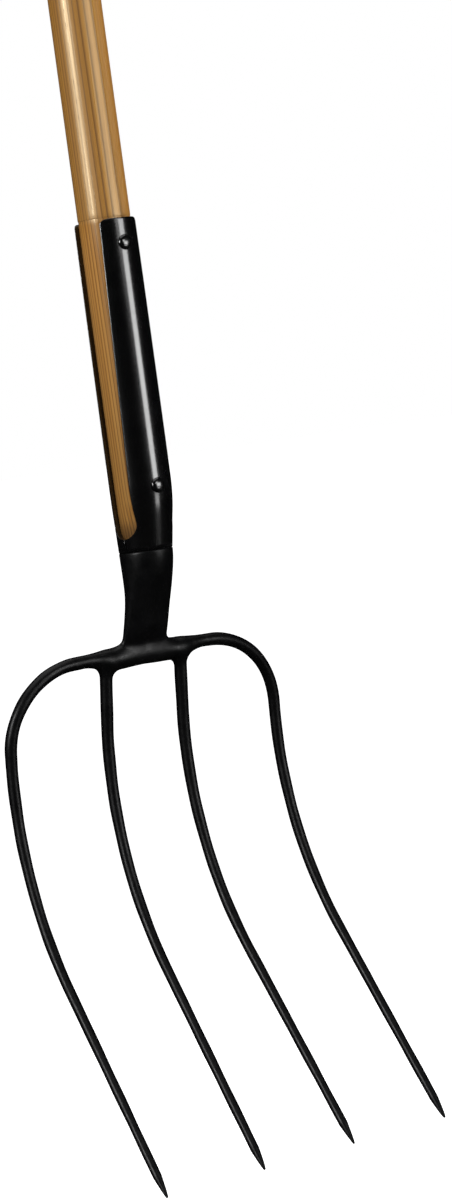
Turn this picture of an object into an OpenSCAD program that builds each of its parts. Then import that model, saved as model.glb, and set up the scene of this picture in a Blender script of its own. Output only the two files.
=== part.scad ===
// Manure fork: forged four-tine head with a strapped ash shaft.
// X runs across the tines, the tines curve towards -Y, and +Z runs up the shaft.
// The origin is on the shaft's axis, at the shoulder where the bare shaft begins.

/* [Shaft] */
// Diameter of the bare shaft
shaft_d = 36; // [32:0.5:42]
// Length of the shaft from the end of its spigot to its butt
shaft_len = 1220; // [700:10:1600]
// Radius round the rim of the butt
butt_round = 10; // [3:1:14]
// Radius of the butt's crowned face
butt_crown = 48; // [30:1:200]
// Depth turned off the shaft where the straps lie
seat_cut = 0.3; // [0.2:0.1:1.5]
// Diameter of the spigot on the shaft's foot
spigot_d = 22; // [14:1:24]
// Length of the spigot on the shaft's foot
spigot_len = 12; // [6:1:14]

/* [Straps] */
// Length of each strap from its tip to its seat on the neck
strap_len = 225; // [150:5:320]
// Thickness of the straps
strap_t = 3.6; // [2:0.1:4.5]
// Length of the drawn-in lower end of the straps
draw_len = 36; // [20:1:60]
// How far the straps draw in there, on the radius
draw_in = 2.9; // [0.5:0.1:4]
// How far the drawn-in end leans back at the neck's seat
draw_back = 4; // [0.5:0.5:6]
// Width of the side window between the strap tips
window_top = 30; // [24:0.5:31]
// Width of the side window at its round foot
window_foot = 22; // [10:0.5:24]
// Height of the window's foot above the neck's seat
window_rise = 9; // [1:0.5:14]
// Radius on the corners of the strap tips
strap_corner = 4; // [1:0.5:5]

/* [Rivets] */
// Diameter of the rivet shanks
rivet_d = 6; // [4:0.5:8]
// Diameter of the rivet heads
rivet_head_d = 10.5; // [9:0.5:13]
// Height of the rivet heads above the straps
rivet_head_h = 2; // [1:0.1:3]
// Distance of the upper rivet from the strap tips
upper_rivet_drop = 17; // [12:1:40]
// Distance of the lower rivet from the neck's seat
lower_rivet_rise = 43; // [30:1:70]

/* [Neck and crown] */
// Height of the strap seat above the crown's axis
neck_len = 68; // [55:1:110]
// How far the crown lies behind the shaft's axis
crown_back = 24; // [8:1:30]
// Width of the neck at its waist
neck_w = 35; // [24:0.5:38]
// Front-to-back depth of the neck at its waist
neck_depth = 18; // [14:0.5:24]
// How far the neck spreads each way into the crown
neck_spread = 5; // [3:0.5:14]
// Height of the crown between the inner tines
crown_h = 15.6; // [12:0.1:20]
// How far the crown hangs below the line of its arms
crown_sag = 2.7; // [0:0.1:4]
// Front-to-back depth of the crown between the inner tines
crown_depth = 15; // [12:0.5:20]
// Length over which the crown thins into each arm
crown_fade = 26; // [16:1:32]

/* [Tines] */
// Distance between the inner tines at the crown
inner_pitch = 62; // [50:1:70]
// Length of each arm from the crown's middle to its shoulder
arm_len = 58; // [56:1:80]
// Radius of the shoulder where an arm turns down
shoulder_r = 55; // [35:1:60]
// Angle at which the arms droop
arm_droop = 2; // [0:0.5:6]
// Angle at which the tines spread
splay = 1; // [0:0.25:3]
// Angle at which the tines lean back as they leave the crown
lean = 10; // [0:1:15]
// Length of the straight root of the tines
root_len = 44; // [20:1:80]
// Radius of the bend in the tines
bend_r = 235; // [150:5:400]
// Angle of the bend in the tines
bend_angle = 44; // [20:1:60]
// Length of the straight lower end of the tines
blade_len = 156; // [80:1:200]
// Diameter of the tines at the crown
tine_d = 9; // [7:0.1:11]
// Diameter of the tines above their points
tine_tip_d = 6; // [4:0.1:7]
// Length of the points
point_len = 16; // [8:1:30]
// Radius of the fillets where the inner tines leave the crown
root_fillet = 5; // [2:0.5:7]

/* [Fits] */
// Gap between the strap tips and the shaft's shoulder
tip_gap = 1; // [0.3:0.1:3]
// Gap between the straps and the wood under them
strap_fit = 0.1; // [0.05:0.05:0.4]
// Gap round the spigot and under it
spigot_fit = 0.15; // [0.05:0.05:0.5]
// Gap round the rivet shanks
rivet_fit = 0.1; // [0.05:0.05:0.3]
// Seam between the two straps below the window
strap_seam = 0.4; // [0.1:0.1:1]

/* [Hidden] */
$fn = 64;

// Heights along the shaft
seat_z = -tip_gap - strap_len;
draw_z = seat_z + draw_len;
foot_z = seat_z - spigot_len;
butt_z = foot_z + shaft_len;
crown_z = seat_z - neck_len;
upper_rivet_z = -tip_gap - upper_rivet_drop;
lower_rivet_z = seat_z + lower_rivet_rise;

// Radii of the wood, the straps over it and the neck under them
wood_r = shaft_d / 2 - seat_cut;
strap_in_r = wood_r + strap_fit;
strap_out_r = strap_in_r + strap_t;
neck_top_r = strap_out_r - draw_in;
over = 1;

// Lengths along the tines
bend_len = bend_r * bend_angle * PI / 180;
tine_len = root_len + bend_len + blade_len;
shoulder_turn = 90 - arm_droop - splay;
shoulder_len = shoulder_r * shoulder_turn * PI / 180;
shoulder_end = [
    arm_len * cos(arm_droop) + shoulder_r * (cos(splay) - sin(arm_droop)),
    arm_len * sin(arm_droop) + shoulder_r * (cos(arm_droop) - sin(splay))
];
bow_len = arm_len + shoulder_len + (tine_len - shoulder_end[1]) / cos(splay);

// How finely the forging is lofted
tine_sides = 12;
neck_sides = 48;
neck_rings = 14;
ring_step = 9;
point_steps = [0.6, 0.3, 0.1, 0];
fillet_steps = [0, 0.2, 0.45, 0.75];

// Share of its thickness that a tine keeps at its very tip, and how fast the point draws down to it
point_bluntness = 0.2;
point_power = 0.7;

// How late the neck cranks back, and the shares of its height where its waist and its foot begin
neck_crank = 1.8;
neck_waist = 0.45;
neck_foot = 0.75;

// Where the crown starts to thin, inside the inner tines, and the share of its depth that the
// neck and the inner tines take up where they run into it
crown_inset = 0.7 * tine_d;
crown_hold = 0.75;

function mix(a, b, t) = a + (b - a) * t;
function clip(t) = min(max(t, 0), 1);
function smooth(t) = pow(clip(t), 2) * (3 - 2 * clip(t));

// Outer radius of the straps at a height, and how far back their middle lies there
function strap_face(z) = mix(neck_top_r, strap_out_r, clip((z - seat_z) / draw_len));
function strap_back(z) = draw_back * clip((draw_z - z) / draw_len);

// Side profile of the tines, by the length along it from the crown's axis
function profile_angle(s) = bend_angle * clip((s - root_len) / bend_len) - lean;
function profile_reach(s) =
    let (a = profile_angle(s))
    bend_r * (cos(lean) - cos(a)) - min(s, root_len) * sin(lean) + max(s - root_len - bend_len, 0) * sin(a);
function profile_drop(s) =
    let (a = profile_angle(s))
    bend_r * (sin(a) + sin(lean)) + min(s, root_len) * cos(lean) + max(s - root_len - bend_len, 0) * cos(a);

// An oval ring of a tine: its middle lies x across the head and s down the profile,
// and it faces the heading [across, down], w wide and d deep
function tine_ring(x, s, heading, w, d) =
    let (
        a = profile_angle(s),
        middle = [x, crown_back - profile_reach(s), crown_z - profile_drop(s)],
        side = [heading[1], heading[0] * sin(a), heading[0] * cos(a)],
        front = [0, -cos(a), sin(a)]
    )
    [for (k = [0:tine_sides - 1])
        let (turn = 360 * k / tine_sides)
        middle + w / 2 * sin(turn) * side + d / 2 * cos(turn) * front];

// Thickness of a tine at a share of its length, drawn to a point over the last stretch
function point_share(left) =
    mix(point_bluntness, 1, pow(clip(left / point_len), point_power));
function tine_size(share, left) = mix(tine_d, tine_tip_d, clip(share)) * point_share(left);

// The bow runs from one outer tip through the crown to the other:
// its heading and its place at a length u from the middle
function bow_angle(u) = arm_droop + shoulder_turn * clip((abs(u) - arm_len) / shoulder_len);
function bow_heading(u) = u == 0 ? [1, 0] : [cos(bow_angle(u)), sign(u) * sin(bow_angle(u))];
function bow_across(u) =
    let (
        arm = min(abs(u), arm_len) * cos(arm_droop),
        shoulder = shoulder_r * (sin(bow_angle(u)) - sin(arm_droop)),
        blade = max(abs(u) - arm_len - shoulder_len, 0) * sin(splay)
    )
    sign(u) * (arm + shoulder + blade);
function bow_down(u) =
    min(abs(u), arm_len) * sin(arm_droop) + shoulder_r * (cos(arm_droop) - cos(bow_angle(u)))
    + max(abs(u) - arm_len - shoulder_len, 0) * cos(splay);
function crown_share(x) = 1 - smooth((abs(x) - inner_pitch / 2 + crown_inset) / crown_fade);
function bow_ring(u) =
    let (
        x = bow_across(u),
        size = tine_size((abs(u) - arm_len) / (bow_len - arm_len), bow_len - abs(u)),
        w = mix(size, crown_h, crown_share(x)),
        d = mix(size, crown_depth, crown_share(x))
    )
    tine_ring(x, bow_down(u) + crown_sag * crown_share(x), bow_heading(u), w, d);

// Stations along a tine's path, evenly from one length to the start of its point, then down the point
function stations(from, length) =
    let (
        run = length - point_len - from,
        steps = ceil(run / ring_step)
    )
    concat(
        [for (k = [0:steps]) from + run * k / steps],
        [for (left = point_steps) length - point_len * left]
    );

// A closed skin over rings that all have the same number of points
module loft(rings) {
    n = len(rings[0]);
    last = len(rings) - 1;
    polyhedron(
        points = [for (ring = rings, p = ring) p],
        faces = concat(
            [[for (k = [n - 1:-1:0]) k]],
            [for (i = [0:last - 1], k = [0:n - 1])
                [i * n + k, i * n + (k + 1) % n, (i + 1) * n + (k + 1) % n, (i + 1) * n + k]],
            [[for (k = [0:n - 1]) last * n + k]]
        )
    );
}

module outer_tines_and_crown() {
    half = stations(0, bow_len);
    path = concat([for (k = [len(half) - 1:-1:1]) -half[k]], half);
    loft([for (u = path) bow_ring(u)]);
}

// An inner tine starts inside the crown and leaves it through a fillet
module inner_tine(side) {
    root = crown_sag + crown_h / 2;
    fillet_rings = [for (f = fillet_steps) root + root_fillet * f];
    loft([for (s = concat([0], fillet_rings, stations(root + root_fillet, tine_len)))
        let (
            size = tine_size(s / tine_len, tine_len - s),
            fillet = 1 - sqrt(1 - pow(clip(1 - (s - root) / root_fillet), 2)),
            w = size + 2 * root_fillet * fillet,
            d = mix(size, crown_hold * crown_depth, fillet)
        )
        tine_ring(side * (inner_pitch / 2 + s * tan(splay)), s, [side * sin(splay), cos(splay)], w, d)]);
}

// The neck leans back from the strap seat, thins front to back and spreads into the crown
module neck() {
    loft([for (i = [0:neck_rings])
        let (
            t = i / neck_rings,
            spread = neck_spread * pow(clip((t - neck_foot) / (1 - neck_foot)), 2),
            w = mix(neck_top_r, neck_w / 2, smooth(t / neck_waist)) + spread,
            waist_d = mix(neck_top_r, neck_depth / 2, smooth(t / neck_foot)),
            d = mix(waist_d, crown_hold * crown_depth / 2, smooth((t - neck_foot) / (1 - neck_foot)))
        )
        [for (k = [0:neck_sides - 1])
            let (turn = 360 * k / neck_sides)
            [w * cos(turn), mix(draw_back, crown_back, pow(t, neck_crank)) + d * sin(turn),
                mix(seat_z, crown_z, t)]]]);
}

module rivet_bores() {
    for (z = [upper_rivet_z, lower_rivet_z])
        translate([0, 0, z])
            rotate([90, 0, 0])
                cylinder(d = rivet_d + 2 * rivet_fit, h = 2 * shaft_d, center = true);
}

// Slants what lies below the draw line, so that it leans back to the neck's seat
module lean_back() {
    slope = draw_back / draw_len;
    multmatrix([[1, 0, 0, 0], [0, 1, -slope, slope * draw_z], [0, 0, 1, 0], [0, 0, 0, 1]])
        children();
}

// A round bar of radius r from the draw line up to top, drawn in below it down to foot
module drawn_bar(r, top, foot) {
    foot_r = r - draw_in * (draw_z - foot) / draw_len;
    rotate_extrude()
        polygon([[0, draw_z], [r, draw_z], [r, top], [0, top]]);
    lean_back()
        rotate_extrude()
            polygon([[0, foot], [foot_r, foot], [r, draw_z], [0, draw_z]]);
}

// Everything inside the outer face of the straps
module strap_body() {
    drawn_bar(strap_out_r, -tip_gap, seat_z);
}

// Tapered window with a round foot that leaves a strap in front and one behind, with rounded tips
module side_window() {
    round_r = window_foot / 2;
    round_z = seat_z + window_rise + round_r;
    tip_z = -tip_gap;
    corner_z = tip_z - strap_corner;
    edges = [for (side = [1, -1])
        let (
            away = [window_top / 2, corner_z - round_z],
            turn = atan2(away[1], away[0]) - acos(round_r / norm(away))
        )
        [side * round_r * cos(turn), round_z + round_r * sin(turn)]];
    rotate([90, 0, 90])
        linear_extrude(height = 2 * shaft_d, center = true) {
            translate([0, round_z])
                circle(round_r);
            polygon([[-window_top / 2, over], [window_top / 2, over], [window_top / 2, corner_z],
                edges[0], edges[1], [-window_top / 2, corner_z]]);
            for (side = [-1, 1])
                translate([side * (window_top / 2 + strap_corner), corner_z])
                    difference() {
                        translate([-side * strap_corner, strap_corner])
                            square(2 * strap_corner, center = true);
                        circle(strap_corner);
                    }
        }
}

// The strap in front of the seam, side -1, or behind it, side 1
module strap(side) {
    difference() {
        intersection() {
            strap_body();
            translate([0, side * (strap_seam / 2 + shaft_d), seat_z + strap_len / 2])
                cube([2 * shaft_d, 2 * shaft_d, strap_len + 2 * over], center = true);
        }
        drawn_bar(strap_in_r, over, seat_z - over);
        side_window();
        rivet_bores();
    }
}

// Shank and two low domed heads that lie close on the straps
module rivet(z) {
    face = strap_face(z);
    dome_r = (pow(rivet_head_d / 2, 2) + pow(rivet_head_h, 2)) / (2 * rivet_head_h);
    translate([0, strap_back(z), z]) {
        rotate([90, 0, 0])
            cylinder(d = rivet_d, h = 2 * face + rivet_head_h, center = true);
        for (side = [-1, 1])
            difference() {
                intersection() {
                    translate([0, side * (face + rivet_head_h - dome_r), 0])
                        sphere(dome_r);
                    translate([0, side * face, 0])
                        rotate([90, 0, 0])
                            cylinder(d = rivet_head_d, h = 4 * rivet_head_h, center = true);
                }
                translate([0, -strap_back(z), -z])
                    strap_body();
            }
    }
}

module fork_head() {
    color("#1b1b1d")
        difference() {
            union() {
                outer_tines_and_crown();
                inner_tine(-1);
                inner_tine(1);
                neck();
            }
            translate([0, draw_back, foot_z - spigot_fit])
                cylinder(d = spigot_d + 2 * spigot_fit, h = spigot_len + spigot_fit + over);
        }
}

module front_strap() {
    color("#202022")
        strap(-1);
}

module back_strap() {
    color("#202022")
        strap(1);
}

// Half a section of the bare shaft, with its butt rounded at the rim and slightly crowned
module bare_section() {
    rim_r = shaft_d / 2 - butt_round;
    intersection() {
        square([shaft_d / 2, butt_z]);
        union() {
            square([shaft_d / 2, butt_z - butt_round]);
            square([rim_r, butt_z]);
            translate([rim_r, butt_z - butt_round])
                circle(butt_round);
        }
        union() {
            square([shaft_d / 2, butt_z - butt_crown]);
            translate([0, butt_z - butt_crown])
                circle(butt_crown);
        }
    }
}

module shaft() {
    color("#b98c56")
        difference() {
            union() {
                rotate_extrude()
                    bare_section();
                drawn_bar(wood_r, over, seat_z);
                translate([0, draw_back, foot_z])
                    cylinder(d = spigot_d, h = spigot_len + over);
            }
            rivet_bores();
        }
}

module upper_rivet() {
    color("#2a2a2c")
        rivet(upper_rivet_z);
}

module lower_rivet() {
    color("#2a2a2c")
        rivet(lower_rivet_z);
}

fork_head();
front_strap();
back_strap();
shaft();
upper_rivet();
lower_rivet();
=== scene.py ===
import math

import bmesh
import bpy
import numpy as np
from mathutils import Matrix, Vector
from mathutils.kdtree import KDTree


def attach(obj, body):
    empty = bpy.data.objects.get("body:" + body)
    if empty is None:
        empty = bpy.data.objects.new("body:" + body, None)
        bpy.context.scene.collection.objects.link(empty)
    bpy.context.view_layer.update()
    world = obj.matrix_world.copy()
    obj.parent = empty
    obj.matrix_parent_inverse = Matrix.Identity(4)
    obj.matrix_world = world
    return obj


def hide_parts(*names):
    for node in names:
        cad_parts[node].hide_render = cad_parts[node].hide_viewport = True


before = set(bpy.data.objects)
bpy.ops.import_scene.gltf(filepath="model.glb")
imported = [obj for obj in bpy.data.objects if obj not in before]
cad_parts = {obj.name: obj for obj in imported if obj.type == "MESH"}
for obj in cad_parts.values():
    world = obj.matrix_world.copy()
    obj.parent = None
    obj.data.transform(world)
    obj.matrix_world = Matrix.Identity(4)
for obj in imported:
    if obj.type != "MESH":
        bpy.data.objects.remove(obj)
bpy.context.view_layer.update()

scene = bpy.context.scene
mm = 0.001  # sizes of the pieces are in millimetres, meshes in metres
tiny = 1e-6  # keeps a division safe


# small helpers for node trees

def setInput(tree, socket, value):
    if isinstance(value, bpy.types.NodeSocket):
        tree.links.new(value, socket)
    else:
        socket.default_value = value


def addNode(tree, kind, settings=None, inputs=None):
    node = tree.nodes.new(kind)
    for key, value in (settings or {}).items():
        setattr(node, key, value)
    for key, value in (inputs or {}).items():
        setInput(tree, node.inputs[key], value)
    return node


def mathNode(tree, operation, a, b=0.0, clamp=False):
    settings = {"operation": operation, "use_clamp": clamp}
    return addNode(tree, "ShaderNodeMath", settings, {0: a, 1: b}).outputs[0]


def weighted(tree, *parts):
    # sum of values, each times its weight
    total = None
    for value, weight in parts:
        part = mathNode(tree, "MULTIPLY", value, weight)
        total = part if total is None else mathNode(tree, "ADD", total, part)
    return total


def vectorNode(tree, operation, a, b=(0.0, 0.0, 0.0)):
    node = addNode(tree, "ShaderNodeVectorMath", {"operation": operation}, {0: a, 1: b})
    return node.outputs["Value" if operation == "LENGTH" else "Vector"]


def greyRamp(tree, factor, stops):
    node = addNode(tree, "ShaderNodeValToRGB", None, {"Fac": factor})
    elements = node.color_ramp.elements
    while len(elements) < len(stops):
        elements.new(1.0)
    for element, (at, level) in zip(elements, stops):
        element.position = at
        element.color = (level, level, level, 1.0)
    return node.outputs["Color"]


def mixColour(tree, factor, a, b, blend="MIX"):
    node = addNode(tree, "ShaderNodeMix", {"data_type": "RGBA", "blend_type": blend}, {0: factor})
    for socket, colour in ((node.inputs[6], a), (node.inputs[7], b)):
        setInput(tree, socket, (*colour, 1.0) if isinstance(colour, tuple) else colour)
    return node.outputs[2]


def remap(tree, value, fromLow, fromHigh, toLow, toHigh, kind="LINEAR"):
    node = addNode(tree, "ShaderNodeMapRange", {"interpolation_type": kind}, {
        "Value": value, "From Min": fromLow, "From Max": fromHigh, "To Min": toLow, "To Max": toHigh})
    return node.outputs["Result"]


def noiseNode(tree, vector, scale, detail, roughness, output="Fac"):
    # a scale for each axis stretches the pattern
    if isinstance(scale, tuple):
        vector, scale = vectorNode(tree, "MULTIPLY", vector, scale), 1.0
    node = addNode(tree, "ShaderNodeTexNoise", {"noise_dimensions": "3D"}, {
        "Vector": vector, "Scale": scale, "Detail": detail, "Roughness": roughness})
    return node.outputs[output]


def newFinish(name):
    finish = bpy.data.materials.new(name)
    finish.use_nodes = True
    return finish, finish.node_tree, finish.node_tree.nodes["Principled BSDF"]


def objectPlace(tree):
    return addNode(tree, "ShaderNodeTexCoord").outputs["Object"]


def setShader(tree, shader, values):
    for name, value in values.items():
        setInput(tree, shader.inputs[name], value)


def bumpInto(tree, shader, height, strength, distance):
    node = addNode(tree, "ShaderNodeBump", None, {
        "Strength": strength, "Distance": distance, "Height": height})
    tree.links.new(node.outputs["Normal"], shader.inputs["Normal"])


# ash with a clear varnish: growth rings round a pith outside the shaft, fibre streaks and open pores

ash = {
    "pith": (0.021, -0.034, 0.0), "lean": (0.45, -0.7, 0.0), "ringGap": 0.0026, "wander": 0.0055,
    "ringTones": [(0.0, 0.0), (0.10, 0.08), (0.34, 0.75), (0.82, 1.0), (0.97, 0.62), (1.0, 0.0)],
    # patterns: scale along each axis, detail and roughness
    "sway": ((14.0, 14.0, 2.2), 2.0, 0.45),
    "fibre": ((1500.0, 1500.0, 11.0), 4.0, 0.62),
    "streak": ((420.0, 420.0, 3.2), 3.0, 0.55),
    "band": ((85.0, 85.0, 1.1), 2.0, 0.5),
    "dashScale": (2300.0, 2300.0, 120.0),
    # two levels of a pattern, and the two values that they turn into
    "poreDash": (0.16, 0.34, 1.0, 0.0), "poreRing": (0.0, 0.34, 1.0, 0.0), "poreShare": 0.8,
    "paleStreaks": (0.35, 0.70, 0.0, 0.75), "deepBands": (0.46, 0.68, 0.0, 0.7),
    "darkFibres": (0.40, 0.72, 0.0, 0.42), "ringLines": (0.0, 0.6, 0.6, 0.0),
    "fibreRough": (0.3, 0.7, 0.0, 0.10), "streakRough": (0.35, 0.65, 0.40, 0.22),
    # the same for two heights, in metres
    "seatFade": (0.0, -0.004, 0.0, 1.0), "windowFade": (-0.03, -0.21, 0.0, 1.0),
    "footFade": (-0.200, -0.215, 0.0, 1.0), "dullFade": (0.002, -0.030, 0.0, 0.34),
    "early": (0.150, 0.056, 0.008),
    "late": (0.420, 0.188, 0.033),
    "pale": (0.510, 0.262, 0.060),
    "ringLine": (0.125, 0.046, 0.007),
    "deep": (0.245, 0.100, 0.016),
    "pore": (0.10, 0.042, 0.012),
    # painted shade between the straps: the wood's colour is multiplied by these, darker towards the window's
    # foot and darkest at its foot
    "windowTop": (0.98, 0.95, 0.92),
    "windowFoot": (0.70, 0.68, 0.58),
    "footShade": (0.34, 0.32, 0.30),
    "gloss": (1.0, 0.82, 0.52), "windowGloss": (0.28, 0.24, 0.16),
    "ior": 1.85, "shine": 1.0, "coat": 0.06, "coatRough": 0.22,
    "fibreRelief": 0.5, "poreRelief": -0.8, "streakRelief": 1.6, "bump": 0.16, "bumpDepth": 0.0004,
}


def makeAsh():
    finish, tree, shader = newFinish("varnishedAsh")
    place = objectPlace(tree)
    turned = addNode(tree, "ShaderNodeMapping", None, {
        "Vector": place, "Location": ash["pith"],
        "Rotation": tuple(math.radians(a) for a in ash["lean"])}).outputs[0]
    # rings, with a slow wander along the length
    sway = noiseNode(tree, turned, *ash["sway"], "Color")
    sway = vectorNode(tree, "SUBTRACT", sway, (0.5, 0.5, 0.5))
    sway = vectorNode(tree, "MULTIPLY", sway, (ash["wander"], ash["wander"], 0.0))
    swayed = vectorNode(tree, "ADD", vectorNode(tree, "MULTIPLY", turned, (1.0, 1.0, 0.0)), sway)
    out = vectorNode(tree, "LENGTH", swayed)
    ring = mathNode(tree, "FRACT", mathNode(tree, "DIVIDE", out, ash["ringGap"]))
    ringTone = greyRamp(tree, ring, ash["ringTones"])
    # fibres: long fine streaks, and broad bands of lighter and darker wood
    fibre = noiseNode(tree, place, *ash["fibre"])
    streak = noiseNode(tree, place, *ash["streak"])
    band = noiseNode(tree, turned, *ash["band"])
    # pores sit in the early wood as short dark dashes
    dash = addNode(tree, "ShaderNodeTexVoronoi", {"feature": "F1", "voronoi_dimensions": "3D"}, {
        "Vector": vectorNode(tree, "MULTIPLY", place, ash["dashScale"]), "Scale": 1.0}).outputs["Distance"]
    early = remap(tree, ring, *ash["poreRing"])
    pore = mathNode(tree, "MULTIPLY", remap(tree, dash, *ash["poreDash"]), early)
    tone = mixColour(tree, ringTone, ash["early"], ash["late"])
    tone = mixColour(tree, remap(tree, streak, *ash["paleStreaks"]), tone, ash["pale"])
    tone = mixColour(tree, remap(tree, band, *ash["deepBands"]), tone, ash["deep"])
    tone = mixColour(tree, remap(tree, fibre, *ash["darkFibres"]), tone, ash["early"])
    tone = mixColour(tree, remap(tree, ringTone, *ash["ringLines"]), tone, ash["ringLine"])
    tone = mixColour(tree, mathNode(tree, "MULTIPLY", pore, ash["poreShare"]), tone, ash["pore"])
    # painted shade on the seat of the straps: the wood is darker and greyer towards the window's foot and
    # darkest at the foot; less varnish there too
    height = addNode(tree, "ShaderNodeSeparateXYZ", None, {0: place}).outputs["Z"]
    seat = remap(tree, height, *ash["seatFade"], "SMOOTHSTEP")
    lower = remap(tree, height, *ash["windowFade"])
    foot = remap(tree, height, *ash["footFade"], "SMOOTHSTEP")
    shade = mixColour(tree, lower, ash["windowTop"], ash["windowFoot"])
    shade = mixColour(tree, foot, shade, ash["footShade"])
    tone = mixColour(tree, seat, tone, mixColour(tree, 1.0, tone, shade, "MULTIPLY"))
    rough = remap(tree, fibre, *ash["fibreRough"])
    rough = mathNode(tree, "ADD", rough, remap(tree, streak, *ash["streakRough"]))
    rough = mathNode(tree, "ADD", rough, remap(tree, height, *ash["dullFade"]))
    shader.inputs["Specular Tint"].default_value = (*ash["gloss"], 1.0)  # stands where the link isn't read
    setShader(tree, shader, {
        "Base Color": tone, "Roughness": rough, "IOR": ash["ior"], "Specular IOR Level": ash["shine"],
        "Specular Tint": mixColour(tree, seat, ash["gloss"], ash["windowGloss"]),
        "Coat Weight": ash["coat"], "Coat Roughness": ash["coatRough"]})
    relief = weighted(tree, (fibre, ash["fibreRelief"]), (pore, ash["poreRelief"]),
                      (streak, ash["streakRelief"]))
    bumpInto(tree, shader, relief, ash["bump"], ash["bumpDepth"])
    return finish


# satin black on the forging: a dull coat over scale, a little uneven

forgedPaint = {
    "dark": (0.0010, 0.0010, 0.0012), "light": (0.0026, 0.0026, 0.0029), "shine": 0.3,
    # patterns and levels as for the ash
    "patch": (42.0, 4.0, 0.6), "flake": (210.0, 3.0, 0.55), "grit": (950.0, 3.0, 0.6),
    "uneven": (0.35, 0.7, 0.0, 1.0), "rough": (0.3, 0.7, 0.31, 0.44),
    "flakeRelief": 0.7, "gritRelief": 0.3, "bump": 0.22, "bumpDepth": 0.0006,
}


def makeForgedPaint():
    finish, tree, shader = newFinish("satinBlackForging")
    place = objectPlace(tree)
    patch = noiseNode(tree, place, *forgedPaint["patch"])
    flake = noiseNode(tree, place, *forgedPaint["flake"])
    grit = noiseNode(tree, place, *forgedPaint["grit"])
    uneven = remap(tree, patch, *forgedPaint["uneven"])
    setShader(tree, shader, {
        "Base Color": mixColour(tree, uneven, forgedPaint["dark"], forgedPaint["light"]),
        "Roughness": remap(tree, flake, *forgedPaint["rough"]),
        "Specular IOR Level": forgedPaint["shine"]})
    relief = weighted(tree, (flake, forgedPaint["flakeRelief"]), (grit, forgedPaint["gritRelief"]))
    bumpInto(tree, shader, relief, forgedPaint["bump"], forgedPaint["bumpDepth"])
    return finish


# gloss black enamel on the straps and rivets: deep, with a faint orange peel

enamel = {
    "dark": (0.0008, 0.0008, 0.0010), "light": (0.0016, 0.0016, 0.0019), "shine": 0.25,
    "coat": 1.0, "coatRough": 0.16, "coatIor": 1.72,
    # patterns and levels as for the ash
    "cloud": (65.0, 3.0, 0.5), "peel": (520.0, 2.0, 0.4), "run": ((160.0, 160.0, 26.0), 2.0, 0.5),
    "rough": (0.3, 0.7, 0.22, 0.30),
    "peelRelief": 0.35, "runRelief": 0.65, "bump": 0.10, "bumpDepth": 0.0008,
}


def makeEnamel():
    finish, tree, shader = newFinish("glossBlackEnamel")
    place = objectPlace(tree)
    cloud = noiseNode(tree, place, *enamel["cloud"])
    peel = noiseNode(tree, place, *enamel["peel"])
    run = noiseNode(tree, place, *enamel["run"])
    setShader(tree, shader, {
        "Base Color": mixColour(tree, cloud, enamel["dark"], enamel["light"]),
        "Roughness": remap(tree, cloud, *enamel["rough"]), "Specular IOR Level": enamel["shine"],
        "Coat Weight": enamel["coat"], "Coat Roughness": enamel["coatRough"], "Coat IOR": enamel["coatIor"]})
    relief = weighted(tree, (peel, enamel["peelRelief"]), (run, enamel["runRelief"]))
    bumpInto(tree, shader, relief, enamel["bump"], enamel["bumpDepth"])
    return finish


ashFinish = makeAsh()
forgedFinish = makeForgedPaint()
enamelFinish = makeEnamel()
print("finishes made")


# mesh helpers

def meshObject(name, points, faces, edges=()):
    mesh = bpy.data.meshes.new(name)
    mesh.from_pydata([tuple(p) for p in np.asarray(points) * mm], list(edges), faces)
    mesh.update()
    piece = bpy.data.objects.new(name, mesh)
    scene.collection.objects.link(piece)
    return piece


def loftFaces(levels, sides, first=0):
    # quads between closed rings of points that follow one another
    faces = []
    for low in range(first, first + (levels - 1) * sides, sides):
        high = low + sides
        for k in range(sides):
            after = (k + 1) % sides
            faces.append((low + k, high + k, high + after, low + after))
    return faces


def outward(piece):
    work = bmesh.new()
    work.from_mesh(piece.data)
    bmesh.ops.recalc_face_normals(work, faces=work.faces)
    work.to_mesh(piece.data)
    work.free()


def smoothShade(piece):
    piece.data.polygons.foreach_set("use_smooth", np.ones(len(piece.data.polygons), bool))
    piece.data.update()


def bakeModifiers(piece):
    bpy.context.view_layer.update()
    shown = piece.evaluated_get(bpy.context.evaluated_depsgraph_get())
    mesh = bpy.data.meshes.new_from_object(shown)
    old = piece.data
    piece.modifiers.clear()
    piece.data = mesh
    bpy.data.meshes.remove(old)
    mesh.name = piece.name


def wear(piece, finish, slotName, *nodes):
    piece.data.materials.clear()
    piece.data.materials.append(finish)
    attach(piece, "root")
    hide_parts(*nodes)
    print(piece.name, len(piece.data.vertices), "points")


def newTree(name, inputs):
    tree = bpy.data.node_groups.new(name, "GeometryNodeTree")
    tree.interface.new_socket("Geometry", in_out="INPUT", socket_type="NodeSocketGeometry")
    tree.interface.new_socket("Geometry", in_out="OUTPUT", socket_type="NodeSocketGeometry")
    for label, kind in inputs:
        tree.interface.new_socket(label, in_out="INPUT", socket_type="NodeSocket" + kind)
    return tree, tree.nodes.new("NodeGroupInput").outputs, tree.nodes.new("NodeGroupOutput")


def endTree(tree, geometry, skin, made):
    real = addNode(tree, "GeometryNodeRealizeInstances", None, {0: geometry})
    skinned = addNode(tree, "GeometryNodeSetMaterial", None, {"Geometry": real.outputs[0], "Material": skin})
    tree.links.new(skinned.outputs[0], made.inputs[0])


def runTree(piece, tree, values):
    modifier = piece.modifiers.new(tree.name, "NODES")
    modifier.node_group = tree
    for item in tree.interface.items_tree:
        if item.in_out == "INPUT" and item.name in values:
            modifier[item.identifier] = values[item.name]
    bakeModifiers(piece)


def clip01(t):
    return np.clip(t, 0.0, 1.0)


def smooth01(t):
    return clip01(t) ** 2 * (3 - 2 * clip01(t))


def mixed(a, b, t):
    return a + (b - a) * t


# the forging: two outer tines that run into the crown as one bow, two inner tines and the cranked neck

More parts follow.
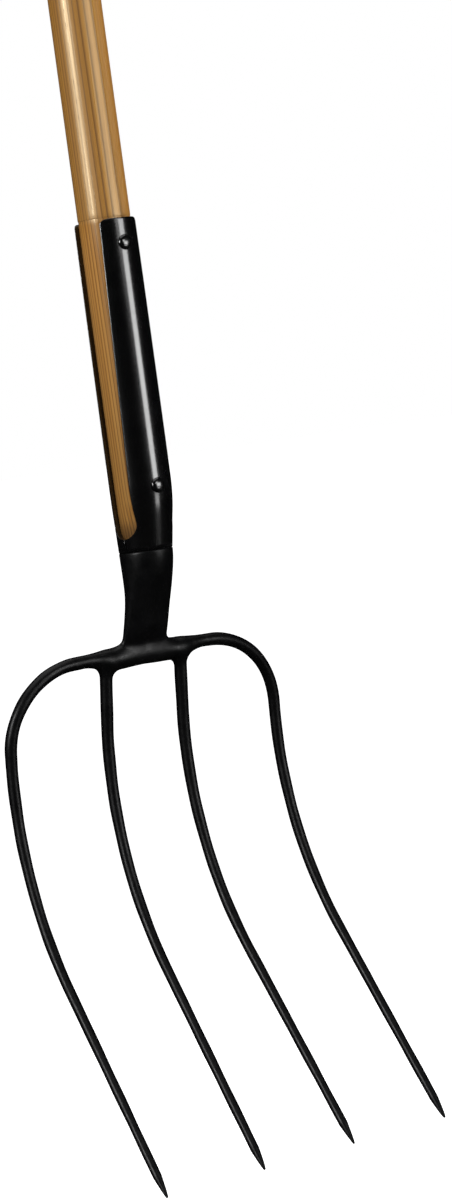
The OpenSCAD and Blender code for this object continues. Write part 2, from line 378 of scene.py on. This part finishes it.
head = {
    "crownZ": -294.0, "crownBack": 24.0, "crownTall": 15.6, "crownDeep": 15.0, "crownSag": 2.7,
    "crownFade": 26.0, "crownInset": 6.3, "crownHold": 0.62,
    "innerPitch": 62.0, "armLength": 58.0, "shoulderRadius": 55.0, "armDroop": 2.0, "splay": 1.0,
    "lean": 10.0, "rootLength": 44.0, "bendRadius": 235.0, "bendAngle": 44.0, "bladeLength": 156.0,
    "rootThick": 9.0, "tipThick": 6.0, "pointLength": 16.0, "bluntness": 0.2, "pointPower": 0.7,
    "seatZ": -226.0, "seatRadius": 18.5, "seatBack": 4.0, "neckWide": 35.0, "neckDeep": 18.0,
    "neckSpread": 2.5, "neckCrank": 1.8, "neckWaist": 0.45, "neckFoot": 0.75, "neckSink": 2.0,
    "neckPast": 1.15, "nudge": 0.2, "rim": 1.4,
    "groove": 1.1, "grooveWide": 4.2, "grooveTop": (0.2, 0.35), "grooveFoot": (1.05, 0.25),
    "tineFillet": 6.5, "neckFillet": 6.0, "tineStart": 5.0,
    # hammer marks: slow waves, each with its radians a millimetre along X, Y and Z, and its start
    "waves": ((0.21, 0.0, 0.083, 0.0), (0.0, 0.17, -0.061, 1.3), (0.05, 0.0, 0.19, 0.7)), "waveShare": 0.6,
    "unevenness": 0.10, "evenTop": 12.0, "evenFade": 20.0,
    "barSides": 20, "barStep": 4.0, "neckSides": 48, "neckRings": 20, "swell": 0.9, "voxel": 0.96,
    "seekStep": 1.5, "seekRounds": 2, "settleSteps": 7, "settleReach": 1.5, "slopeFloor": 0.25,
}
lean, splay, droop = (math.radians(head[key]) for key in ("lean", "splay", "armDroop"))
bendLength = head["bendRadius"] * math.radians(head["bendAngle"])
tineLength = head["rootLength"] + bendLength + head["bladeLength"]
shoulderTurn = math.pi / 2 - droop - splay
shoulderLength = head["shoulderRadius"] * shoulderTurn
shoulderDrop = head["shoulderRadius"] * (math.cos(droop) - math.sin(splay))
shoulderDrop += head["armLength"] * math.sin(droop)
bowLength = head["armLength"] + shoulderLength + (tineLength - shoulderDrop) / math.cos(splay)


def profileAt(s):
    # side profile of the tines: angle, how far forward and how far down at a length s
    turn = np.radians(head["bendAngle"]) * clip01((s - head["rootLength"]) / bendLength) - lean
    root = np.minimum(s, head["rootLength"])
    blade = np.maximum(s - head["rootLength"] - bendLength, 0)
    bend = head["bendRadius"]
    forward = bend * (math.cos(lean) - np.cos(turn)) - root * math.sin(lean) + blade * np.sin(turn)
    down = bend * (np.sin(turn) + math.sin(lean)) + root * math.cos(lean) + blade * np.cos(turn)
    return turn, forward, down


def tineThick(share, left):
    point = mixed(head["bluntness"], 1.0, clip01(left / head["pointLength"]) ** head["pointPower"])
    return mixed(head["rootThick"], head["tipThick"], clip01(share)) * point


def stationAt(x, s, across, downward):
    turn, forward, down = profileAt(s)
    zero = np.zeros_like(s)
    middle = np.stack([x, head["crownBack"] - forward, head["crownZ"] - down], -1)
    slope = np.stack([zero, -np.sin(turn), -np.cos(turn)], -1)
    along = across[:, None] * np.array([1.0, 0.0, 0.0]) + downward[:, None] * slope
    front = np.stack([zero, -np.cos(turn), np.sin(turn)], -1)
    side = np.stack([downward, across * np.sin(turn), across * np.cos(turn)], -1)
    return middle, along, side, front


def bowStation(u):
    reach, bend = np.abs(u), head["shoulderRadius"]
    turn = droop + shoulderTurn * clip01((reach - head["armLength"]) / shoulderLength)
    arm = np.minimum(reach, head["armLength"])
    blade = np.maximum(reach - head["armLength"] - shoulderLength, 0)
    x = arm * math.cos(droop) + bend * (np.sin(turn) - math.sin(droop)) + blade * math.sin(splay)
    s = arm * math.sin(droop) + bend * (math.cos(droop) - np.cos(turn)) + blade * math.cos(splay)
    crown = 1 - smooth01((x - head["innerPitch"] / 2 + head["crownInset"]) / head["crownFade"])
    thick = tineThick((reach - head["armLength"]) / (bowLength - head["armLength"]), bowLength - reach)
    frameAt = stationAt(np.sign(u) * x, s + head["crownSag"] * crown, np.cos(turn), np.sign(u) * np.sin(turn))
    return (*frameAt, mixed(thick, head["crownTall"], crown) / 2, mixed(thick, head["crownDeep"], crown) / 2)


def innerStation(side):
    def at(s):
        thick = tineThick(s / tineLength, tineLength - s) / 2
        ones = np.ones_like(s)
        frameAt = stationAt(side * (head["innerPitch"] / 2 + s * math.tan(splay)), s,
                            side * math.sin(splay) * ones, math.cos(splay) * ones)
        return (*frameAt, thick, thick)
    return at


sweeps = [
    {"at": bowStation, "low": -bowLength, "high": bowLength},
    {"at": innerStation(-1), "low": head["tineStart"], "high": tineLength},
    {"at": innerStation(1), "low": head["tineStart"], "high": tineLength},
]


def stationsOf(sweep, step):
    return np.linspace(sweep["low"], sweep["high"], int((sweep["high"] - sweep["low"]) / step) + 1)


def neckShape(z):
    t = np.clip((head["seatZ"] - z) / (head["seatZ"] - head["crownZ"]), 0.0, head["neckPast"])
    foot = (t - head["neckFoot"]) / (1 - head["neckFoot"])
    wide = mixed(head["seatRadius"], head["neckWide"] / 2, smooth01(t / head["neckWaist"]))
    wide = wide + head["neckSpread"] * clip01(foot) ** 2
    deep = mixed(head["seatRadius"], head["neckDeep"] / 2, smooth01(t / head["neckFoot"]))
    deep = mixed(deep, head["crownHold"] * head["crownDeep"] / 2, smooth01(foot))
    back = mixed(head["seatBack"], head["crownBack"], t ** head["neckCrank"])
    return t, wide, deep, back


def blendFields(a, slopeA, b, slopeB, reach):
    # smooth union of two distance fields and of their slopes, which leaves a fillet
    near = np.maximum(reach - np.abs(a - b), 0) / reach
    first = (a < b)[:, None]
    share = (near / 2)[:, None]
    slope = np.where(first, mixed(slopeA, slopeB, share), mixed(slopeB, slopeA, share))
    return np.minimum(a, b) - near ** 2 * reach / 4, slope


def sweepField(points, sweep):
    u = sweep["u"]
    for _ in range(head["seekRounds"]):
        middle, along = sweep["at"](u)[:2]
        u = np.clip(u + np.einsum("ij,ij->i", points - middle, along), sweep["low"], sweep["high"])
    sweep["u"] = u
    middle, along, side, front, wide, deep = sweep["at"](u)
    offset = points - middle
    a, b, c = (np.einsum("ij,ij->i", offset, axis) for axis in (side, front, along))
    size = np.minimum(wide, deep)
    k0 = np.sqrt((a / wide) ** 2 + (b / deep) ** 2 + (c / size) ** 2)
    pull = np.stack([a / wide ** 2, b / deep ** 2, c / size ** 2], -1)
    k1 = np.maximum(np.linalg.norm(pull, axis=1), tiny)
    slope = (pull[:, :1] * side + pull[:, 1:2] * front + pull[:, 2:] * along) / k1[:, None]
    return k0 * (k0 - 1) / k1, slope


def neckField(points):
    x, y, z = points.T
    nudge = head["nudge"]

    def level(zz):
        _, wide, deep, back = neckShape(zz)
        return np.sqrt((x / wide) ** 2 + ((y - back) / deep) ** 2)
    _, wide, deep, back = neckShape(z)
    k0 = level(z)
    safe = np.maximum(k0, tiny)
    slope = np.stack([x / wide ** 2 / safe, (y - back) / deep ** 2 / safe,
                      (level(z + nudge) - level(z - nudge)) / (2 * nudge)], -1)
    steep = np.maximum(np.linalg.norm(slope, axis=1), tiny)
    field, slope = (k0 - 1) / steep, slope / steep[:, None]
    # flat top with a small rounded rim, and an end hidden in the crown
    up = np.broadcast_to(np.array([0.0, 0.0, 1.0]), slope.shape)
    field, slope = blendFields(-field, -slope, head["seatZ"] - z, -up, head["rim"])
    field, slope = blendFields(field, slope, z - (head["crownZ"] - head["neckSink"]), up, head["neckSink"])
    return -field, -slope


def headField(points):
    field, slope = sweepField(points, sweeps[0])
    for sweep in sweeps[1:]:
        field, slope = blendFields(field, slope, *sweepField(points, sweep), head["tineFillet"])
    field, slope = blendFields(field, slope, *neckField(points), head["neckFillet"])
    x, y, z = points.T
    t, _, deep, back = neckShape(z)
    # shallow groove down the neck's front
    (top, fadeIn), (foot, fadeOut) = head["grooveTop"], head["grooveFoot"]
    hollow = np.exp(-(x / head["grooveWide"]) ** 2)
    hollow = hollow * smooth01((t - top) / fadeIn) * smooth01((foot - t) / fadeOut)
    field = field + head["groove"] * hollow * smooth01((back - y) / deep * 2)
    # hammer marks fade out towards the flat top
    first, second, third = (np.sin(points @ np.array(pace) + start) for *pace, start in head["waves"])
    wave = first * second + head["waveShare"] * third
    below = smooth01((head["seatZ"] - head["evenTop"] - z) / head["evenFade"])
    return field + head["unevenness"] * wave * below, slope


def makeBarTree():
    # sweeps a round bar along each path, a little oversize for the remesh
    tree, given, made = newTree("sweptBars", [("Sides", "Int"), ("Swell", "Float"), ("Skin", "Material")])
    lines = addNode(tree, "GeometryNodeMeshToCurve", None, {"Mesh": given["Geometry"]})
    thick = addNode(tree, "GeometryNodeInputNamedAttribute", {"data_type": "FLOAT"}, {"Name": "thick"})
    ring = addNode(tree, "GeometryNodeCurvePrimitiveCircle", None, {
        "Resolution": given["Sides"], "Radius": 1.0})
    bars = addNode(tree, "GeometryNodeCurveToMesh", None, {
        "Curve": lines.outputs[0], "Profile Curve": ring.outputs[0],
        "Scale": mathNode(tree, "ADD", thick.outputs[0], given["Swell"]), "Fill Caps": True})
    endTree(tree, bars.outputs[0], given["Skin"], made)
    return tree


def makeNeckRings():
    sides, swell = head["neckSides"], head["swell"]
    levels = np.linspace(head["seatZ"] + swell, head["crownZ"] - head["neckSink"], head["neckRings"])
    angles = np.linspace(0, 2 * math.pi, sides, endpoint=False)
    rings = []
    for z in levels:
        _, wide, deep, back = neckShape(z)
        rings += [((wide + swell) * math.cos(a), back + (deep + swell) * math.sin(a), z) for a in angles]
    last = len(rings) - 1
    ends = [tuple(range(sides)), tuple(range(last, last - sides, -1))]
    neck = meshObject("neckRough", rings, loftFaces(len(levels), sides) + ends)
    neck.data.materials.append(forgedFinish)
    return neck


def settleOnField(piece):
    # each point slides onto the smooth forging, so no trace of the voxels is left
    flat = np.zeros(len(piece.data.vertices) * 3, np.float32)
    piece.data.vertices.foreach_get("co", flat)
    points = flat.reshape(-1, 3).astype(float) / mm
    for sweep in sweeps:
        u = stationsOf(sweep, head["seekStep"])
        near = KDTree(len(u))
        for i, p in enumerate(sweep["at"](u)[0]):
            near.insert(p, i)
        near.balance()
        sweep["u"] = u[[near.find(p)[1] for p in points]]
    for _ in range(head["settleSteps"]):
        field, slope = headField(points)
        step = np.clip(field, -head["settleReach"], head["settleReach"])
        points -= (step / np.maximum((slope ** 2).sum(1), head["slopeFloor"]))[:, None] * slope
    piece.data.vertices.foreach_set("co", (points * mm).astype(np.float32).ravel())
    piece.data.update()
    print("left off the forging:", round(float(np.abs(headField(points)[0]).max()), 3), "mm")


def makeHead():
    points, edges, radii = [], [], []
    for sweep in sweeps:
        u = stationsOf(sweep, head["barStep"])
        middle, _, _, _, wide, deep = sweep["at"](u)
        edges += [(len(points) + i, len(points) + i + 1) for i in range(len(u) - 1)]
        points += list(middle)
        radii += list((wide + deep) / 2)
    piece = meshObject("forkHead", points, [], edges)
    piece.data.attributes.new("thick", "FLOAT", "POINT").data.foreach_set("value", np.array(radii) * mm)
    runTree(piece, makeBarTree(), {
        "Sides": head["barSides"], "Swell": head["swell"] * mm, "Skin": forgedFinish})
    # bars and neck are fused, then smoothed
    with bpy.context.temp_override(active_object=piece, selected_editable_objects=[piece, makeNeckRings()]):
        bpy.ops.object.join()
    fuse = piece.modifiers.new("fuse", "REMESH")
    fuse.mode, fuse.voxel_size, fuse.adaptivity = "VOXEL", head["voxel"] * mm, 0.0
    bakeModifiers(piece)
    settleOnField(piece)
    smoothShade(piece)
    wear(piece, forgedFinish, "head_paint", "fork_head")


makeHead()


# straps: half-round shells with rounded tips and edges, drawn in and set back at the foot

straps = {
    "tipZ": -1.0, "seatZ": head["seatZ"], "outRadius": 21.4, "thick": 3.6,
    "drawLength": 36.0, "drawIn": 2.9, "drawBack": head["seatBack"], "ease": 12.0,
    "windowTop": 30.0, "windowFoot": 22.0, "windowRise": 9.0, "tipCorner": 4.0, "seam": 0.4,
    "edge": 1.3, "seamEdge": 0.4, "edgeFade": 14.0, "rim": 0.9,
    "columns": 44, "edgeSteps": 5, "tipRows": 16, "bodyRows": 60, "bowlRows": 24, "footRows": 4,
}


def drawnShare(z):
    # 0 above the draw line, 1 at the seat, with an eased start
    low = (straps["seatZ"] + straps["drawLength"] - z) / straps["drawLength"]
    ease = straps["ease"] / straps["drawLength"]
    if low < -ease:
        return 0.0
    return low if low > ease else (low + ease) ** 2 / (4 * ease)


def windowEdge(z):
    # how far a strap's edge lies from the middle of the window
    corner, half = straps["tipCorner"], straps["windowTop"] / 2
    roundR = straps["windowFoot"] / 2
    roundZ = straps["seatZ"] + straps["windowRise"] + roundR
    cornerZ = straps["tipZ"] - corner
    rise = cornerZ - roundZ
    turn = math.atan2(rise, half) - math.acos(roundR / math.hypot(half, rise))
    touchY, touchZ = roundR * math.cos(turn), roundZ + roundR * math.sin(turn)
    if z >= touchZ:
        edge = half + (touchY - half) * max(cornerZ - z, 0.0) / (cornerZ - touchZ)
    else:
        edge = math.sqrt(max(roundR ** 2 - (z - roundZ) ** 2, 0.0))
    if z > cornerZ:
        edge += corner - math.sqrt(max(corner ** 2 - (z - cornerZ) ** 2, 0.0))
    return max(edge, straps["seam"] / 2)


def strapRow(radius, half, inward, edge):
    # across one face of a strap, with its long edges rounded towards the other face
    steps, turn = straps["edgeSteps"], half - edge / radius
    corner = np.array([radius * math.sin(half), radius * math.cos(half)])
    onEdge = corner + np.array([inward * edge, 0.0])
    onFace = np.array([radius * math.sin(turn), radius * math.cos(turn)])
    s = np.linspace(0, 1, steps + 1)[:, None]
    bend = (1 - s) ** 2 * onEdge + 2 * s * (1 - s) * corner + s ** 2 * onFace
    arc = np.linspace(-turn, turn, straps["columns"] - 2 * steps + 1)[1:-1]
    face = np.stack([radius * np.sin(arc), radius * np.cos(arc)], -1)
    return np.concatenate([bend * (-1, 1), face, bend[::-1]])


def makeStrap(name, side, node):
    # side is -1 on the front and 1 on the back
    corner, foot = straps["tipCorner"], straps["seatZ"] + straps["windowRise"]
    tip = straps["tipZ"] - corner + corner * np.sin(np.linspace(math.pi / 2, 0, straps["tipRows"]))
    body = np.linspace(tip[-1], foot + straps["windowFoot"], straps["bodyRows"])[1:]
    bowl = foot + straps["windowFoot"] / 2 * (1 + np.cos(np.linspace(0, math.pi, straps["bowlRows"])[1:]))
    levels = np.concatenate([tip, body, bowl, np.linspace(foot, straps["seatZ"], straps["footRows"])[1:]])
    columns, rim = straps["columns"], straps["rim"]
    points = []
    for z in levels:
        drawn = drawnShare(z)
        back = straps["drawBack"] * drawn
        reach = windowEdge(z) - side * back
        edge = mixed(straps["seamEdge"], straps["edge"], smooth01((z - foot) / straps["edgeFade"]))
        fall = rim - math.sqrt(rim ** 2 - max(z - straps["tipZ"] + rim, 0.0) ** 2)
        outer = straps["outRadius"] - straps["drawIn"] * drawn - fall
        inner = straps["outRadius"] - straps["thick"] - straps["drawIn"] * drawn + fall
        for radius, inward, order in ((outer, -1, 1), (inner, 1, -1)):
            half = math.acos(min(max(reach / radius, -1.0), 1.0))
            row = strapRow(radius, half, inward, edge)[::order]
            points += [(u, back + side * v, z) for u, v in row]
    ring = 2 * (columns + 1)
    faces = loftFaces(len(levels), ring)
    for first in (0, (len(levels) - 1) * ring):
        last = first + ring - 1
        faces += [(first + k, first + k + 1, last - 1 - k, last - k) for k in range(columns)]
    piece = meshObject(name, points, faces)
    outward(piece)
    smoothShade(piece)
    wear(piece, enamelFinish, "strap_paint", node)


makeStrap("frontStrap", -1, "front_strap")
makeStrap("backStrap", 1, "back_strap")


# ash shaft, turned down under the straps, with an eased shoulder and a rounded butt

shaft = {
    "radius": 18.0, "buttZ": 982.0, "buttRound": 10.0, "buttCrown": 48.0,
    "seatCut": 0.3, "seatZ": head["seatZ"], "shoulderEase": 0.35,
    "spigotRadius": 11.0, "spigotLength": 12.0, "spigotChamfer": 0.8,
    "sides": 96, "seatRows": 60, "shoulderRows": 5, "bareRows": 90, "buttRows": 24,
    "seatTop": -6.0, "shoulderFoot": (-2.0, -0.05, 0.0), "bareFoot": 4.0, "buttRings": (6.5, 4.5, 2.2),
    "ringSlack": 0.02,
}


def shaftRows():
    # radius and height of each ring, from the spigot's end to the butt
    radius, seatZ, ease = shaft["radius"], shaft["seatZ"], shaft["shoulderEase"]
    spigotR, chamfer, endZ = shaft["spigotRadius"], shaft["spigotChamfer"], seatZ - shaft["spigotLength"]
    seatR = radius - shaft["seatCut"]
    rows = [(0.0, endZ), (spigotR - chamfer, endZ), (spigotR, endZ + chamfer), (spigotR, seatZ)]
    for z in np.linspace(seatZ, shaft["seatTop"], shaft["seatRows"]):
        rows.append((seatR - straps["drawIn"] * drawnShare(z), z))
    rows += [(seatR, z) for z in shaft["shoulderFoot"]]
    for a in np.linspace(0.0, math.pi / 2, shaft["shoulderRows"]):
        rows.append((radius - ease + ease * math.sin(a), ease - ease * math.cos(a)))
    rimZ = shaft["buttZ"] - shaft["buttRound"]
    rows += [(radius, z) for z in np.linspace(shaft["bareFoot"], rimZ, shaft["bareRows"])]

    def crownZ(r):
        return shaft["buttZ"] - shaft["buttCrown"] + math.sqrt(shaft["buttCrown"] ** 2 - r ** 2)
    for a in np.linspace(0.0, math.pi / 2, shaft["buttRows"])[1:]:
        r = radius - shaft["buttRound"] + shaft["buttRound"] * math.cos(a)
        rows.append((r, min(rimZ + shaft["buttRound"] * math.sin(a), crownZ(r))))
    return rows + [(r, crownZ(r)) for r in shaft["buttRings"]] + [(0.0, shaft["buttZ"])]


def makeShaft():
    rows, sides = shaftRows(), shaft["sides"]
    angles = np.linspace(0, 2 * math.pi, sides, endpoint=False)
    points = [(0.0, straps["drawBack"], rows[0][1])]
    for r, z in rows[1:-1]:
        back = straps["drawBack"] * drawnShare(max(z, shaft["seatZ"]))
        points += [(r * math.cos(a), back + r * math.sin(a), z) for a in angles]
    points.append((0.0, 0.0, rows[-1][1]))
    last = len(points) - 1
    top = last - sides
    faces = loftFaces(len(rows) - 2, sides, 1)
    faces += [(0, 1 + k, 1 + (k + 1) % sides) for k in range(sides)]
    faces += [(last, top + (k + 1) % sides, top + k) for k in range(sides)]
    piece = meshObject("ashShaft", points, faces)
    outward(piece)
    smoothShade(piece)
    # crisp rings at the shoulder's foot and at the seat
    for edge in piece.data.edges:
        a, b = (piece.data.vertices[i].co.z / mm for i in edge.vertices)
        if abs(a - b) < shaft["ringSlack"] and min(abs(a), abs(a - shaft["seatZ"])) < shaft["ringSlack"]:
            edge.use_edge_sharp = True
    wear(piece, ashFinish, "ash", "shaft")


makeShaft()


# rivets: a shank and two low domed heads, placed by a tree

rivets = {
    "headWide": 10.5, "headTall": 2.0, "rimDrop": 0.9, "domePower": 2.4, "shankWide": 6.0,
    "face": straps["outRadius"], "upperZ": -18.0, "lowerZ": -183.0,
    "sides": 40, "domeRings": 9, "shankSides": 24,
}


def makeRivetTree():
    tree, size, made = newTree("rivetPair", [
        ("Head Width", "Float"), ("Head Height", "Float"), ("Rim Drop", "Float"), ("Shank Width", "Float"),
        ("Face", "Float"), ("Level", "Float"), ("Sides", "Int"), ("Skin", "Material")])

    def combine(**parts):
        return addNode(tree, "ShaderNodeCombineXYZ", None, parts).outputs[0]

    def times(a, b):
        return mathNode(tree, "MULTIPLY", a, b)
    headR, through = times(size["Head Width"], 0.5), times(size["Face"], 2.0)
    disc = addNode(tree, "GeometryNodeMeshCylinder", {"fill_type": "TRIANGLE_FAN"}, {
        "Vertices": size["Sides"], "Side Segments": 1, "Fill Segments": rivets["domeRings"],
        "Radius": headR, "Depth": size["Rim Drop"]})
    # the top of the disc swells into a low dome with a small rounded edge
    place = addNode(tree, "GeometryNodeInputPosition").outputs[0]
    height = addNode(tree, "ShaderNodeSeparateXYZ", None, {0: place}).outputs["Z"]
    out = vectorNode(tree, "LENGTH", vectorNode(tree, "MULTIPLY", place, (1.0, 1.0, 0.0)))
    share = mathNode(tree, "POWER", mathNode(tree, "DIVIDE", out, headR), rivets["domePower"])
    dome = mathNode(tree, "SQRT", mathNode(tree, "MAXIMUM", mathNode(tree, "SUBTRACT", 1.0, share), 0.0))
    rise = times(times(dome, size["Head Height"]), mathNode(tree, "GREATER_THAN", height, 0.0))
    domed = addNode(tree, "GeometryNodeSetPosition", None, {
        "Geometry": disc.outputs["Mesh"], "Offset": combine(Z=rise)})
    seated = addNode(tree, "GeometryNodeTransform", None, {
        "Geometry": domed.outputs[0], "Translation": combine(Z=times(size["Rim Drop"], -0.5))})
    # one head on each face, turned outwards
    ends = addNode(tree, "GeometryNodeMeshLine", {"mode": "OFFSET"}, {
        "Count": 2, "Start Location": combine(Y=times(size["Face"], -1.0), Z=size["Level"]),
        "Offset": combine(Y=through)})
    index = addNode(tree, "GeometryNodeInputIndex").outputs[0]
    tilt = times(mathNode(tree, "SUBTRACT", 1.0, times(index, 2.0)), math.pi / 2)
    turn = addNode(tree, "FunctionNodeEulerToRotation", None, {0: combine(X=tilt)})
    heads = addNode(tree, "GeometryNodeInstanceOnPoints", None, {
        "Points": ends.outputs[0], "Instance": seated.outputs[0], "Rotation": turn.outputs[0]})
    shank = addNode(tree, "GeometryNodeMeshCylinder", {"fill_type": "NGON"}, {
        "Vertices": rivets["shankSides"], "Radius": times(size["Shank Width"], 0.5), "Depth": through})
    laid = addNode(tree, "GeometryNodeTransform", None, {
        "Geometry": shank.outputs["Mesh"], "Translation": combine(Z=size["Level"]),
        "Rotation": (math.pi / 2, 0.0, 0.0)})
    joined = addNode(tree, "GeometryNodeJoinGeometry")
    for part in (heads, laid):
        tree.links.new(part.outputs[0], joined.inputs[0])
    endTree(tree, joined.outputs[0], size["Skin"], made)
    return tree


def makeRivet(name, level, node):
    piece = meshObject(name, [(0, 0, 0)], [])
    runTree(piece, rivetTree, {
        "Head Width": rivets["headWide"] * mm, "Head Height": rivets["headTall"] * mm,
        "Rim Drop": rivets["rimDrop"] * mm, "Shank Width": rivets["shankWide"] * mm,
        "Face": rivets["face"] * mm, "Level": level * mm, "Sides": rivets["sides"], "Skin": enamelFinish})
    smoothShade(piece)
    wear(piece, enamelFinish, "strap_paint", node)


rivetTree = makeRivetTree()
makeRivet("upperRivet", rivets["upperZ"], "upper_rivet")
makeRivet("lowerRivet", rivets["lowerZ"], "lower_rivet")


# studio, in metres: white surround, pale floor below the tines and a dark card that the gloss mirrors

studio = {
    "skyLevel": 0.28, "floorZ": -1.0, "floorReach": 40.0,
    "floorTone": 0.86, "floorRough": 0.9, "floorGlow": 0.95,
    "cardRadius": 4.2, "cardTop": 6.0, "cardLift": 0.005, "cardSides": 48, "cardTone": 0.01,
}

# soft boxes make the highlights, and the fills light paint and wood without showing in the gloss
lamps = {
    "leftBox": {"azimuth": -81.0, "elevation": 6.0, "distance": 2.6, "lookZ": 0.33,
                "wide": 0.46, "tall": 1.1, "power": 37.0, "inGloss": True},
    "rightBox": {"azimuth": 27.5, "elevation": 0.0, "distance": 2.6, "lookZ": -0.11,
                 "wide": 0.87, "tall": 0.58, "power": 11.2, "inGloss": True},
    "woodBox": {"azimuth": 14.0, "elevation": 0.0, "distance": 2.6, "lookZ": 0.43,
                "wide": 0.8, "tall": 0.5, "power": 6.4, "inGloss": True},
    "lowBox": {"azimuth": 26.0, "elevation": 0.0, "distance": 2.6, "lookZ": -0.79,
               "wide": 0.72, "tall": 0.36, "power": 3.0, "inGloss": True},
    "frontFill": {"azimuth": -30.0, "elevation": 38.0, "distance": 3.2, "lookZ": -0.1,
                  "wide": 1.6, "tall": 1.6, "power": 25.0, "inGloss": False},
    "rimFill": {"azimuth": 75.0, "elevation": 5.0, "distance": 2.6, "lookZ": 0.1,
                "wide": 0.6, "tall": 1.4, "power": 45.0, "inGloss": False},
    "backFill": {"azimuth": 150.0, "elevation": 20.0, "distance": 3.0, "lookZ": 0.2,
                 "wide": 0.8, "tall": 1.6, "power": 30.0, "inGloss": False},
}

# focal length and height are in the photo's pixels
photoCamera = {
    "azimuth": -35.262, "elevation": 3.308, "roll": 7.687, "distance": 2.5,
    "target": (0.03808, -0.02814, -0.2672), "focalPixels": 3670.0, "imageHeight": 1200.0,
    "clipStart": 0.05, "clipEnd": 200.0,
}


def around(azimuth, elevation, distance):
    a, e = math.radians(azimuth), math.radians(elevation)
    return Vector((math.sin(a) * math.cos(e), -math.cos(a) * math.cos(e), math.sin(e))) * distance


def isSeen(tree):
    path = addNode(tree, "ShaderNodeLightPath").outputs
    seen = mathNode(tree, "ADD", path["Is Camera Ray"], path["Is Glossy Ray"])
    return mathNode(tree, "ADD", seen, path["Is Transmission Ray"], clamp=True)


def plainTone(name, tone):
    finish, tree, shader = newFinish(name)
    setShader(tree, shader, {"Base Color": (tone, tone, tone, 1.0), "Specular IOR Level": 0.0})
    return finish, tree, shader


def makeSurround():
    world = bpy.data.worlds.new("whiteRoom")
    world.use_nodes = True
    scene.world = world
    tree = world.node_tree
    setShader(tree, tree.nodes["Background"], {
        "Color": (1.0, 1.0, 1.0, 1.0),
        "Strength": remap(tree, isSeen(tree), 0.0, 1.0, studio["skyLevel"], 1.0)})

    far = studio["floorReach"] / mm
    corners = [(-far, -far, 0), (far, -far, 0), (far, far, 0), (-far, far, 0)]
    floor = meshObject("paleFloor", corners, [(0, 1, 2, 3)])
    floor.location.z = studio["floorZ"]
    paper, tree, shader = plainTone("paleFloor", studio["floorTone"])
    setShader(tree, shader, {
        "Roughness": studio["floorRough"], "Emission Color": (1.0, 1.0, 1.0, 1.0),
        "Emission Strength": remap(tree, isSeen(tree), 0.0, 1.0, 0.0, studio["floorGlow"])})
    floor.data.materials.append(paper)

    # a wall round the object and a sheet over the floor, open above and seen by glossy rays alone
    sides, radius = studio["cardSides"], studio["cardRadius"] / mm
    levels = ((studio["floorZ"] + studio["cardLift"]) / mm, studio["cardTop"] / mm)
    angles = np.linspace(0.0, 2 * math.pi, sides, endpoint=False)
    points = [(radius * math.sin(a), -radius * math.cos(a), z) for z in levels for a in angles]
    card = meshObject("darkCard", points, loftFaces(2, sides) + [tuple(range(sides))])
    card.data.materials.append(plainTone("darkCard", studio["cardTone"])[0])
    card.visible_camera = card.visible_diffuse = card.visible_shadow = card.visible_transmission = False


def makeLamps():
    for name, lamp in lamps.items():
        light = bpy.data.lights.new(name, "AREA")
        light.shape, light.energy = "RECTANGLE", lamp["power"]
        light.size, light.size_y = lamp["wide"], lamp["tall"]
        holder = bpy.data.objects.new(name, light)
        scene.collection.objects.link(holder)
        holder.visible_glossy = lamp["inGloss"]
        look = Vector((0.0, 0.0, lamp["lookZ"]))
        holder.location = look + around(lamp["azimuth"], lamp["elevation"], lamp["distance"])
        holder.rotation_euler = (look - holder.location).to_track_quat("-Z", "Y").to_euler()


def makeCamera():
    back = around(photoCamera["azimuth"], photoCamera["elevation"], 1.0)
    turn, roll = math.radians(photoCamera["azimuth"]), math.radians(photoCamera["roll"])
    right = Vector((math.cos(turn), math.sin(turn), 0.0))
    up = back.cross(right)
    across = math.cos(roll) * right - math.sin(roll) * up
    upright = math.sin(roll) * right + math.cos(roll) * up
    lens = bpy.data.cameras.new("photoCamera")
    lens.lens = photoCamera["focalPixels"] / photoCamera["imageHeight"] * lens.sensor_width
    lens.clip_start, lens.clip_end = photoCamera["clipStart"], photoCamera["clipEnd"]
    camera = bpy.data.objects.new("photoCamera", lens)
    scene.collection.objects.link(camera)
    pose = Matrix((across, upright, back)).transposed().to_4x4()
    pose.translation = Vector(photoCamera["target"]) + back * photoCamera["distance"]
    camera.matrix_world = pose
    scene.camera = camera


makeSurround()
makeLamps()
makeCamera()
scene.view_settings.view_transform = "Standard"
print("studio ready")
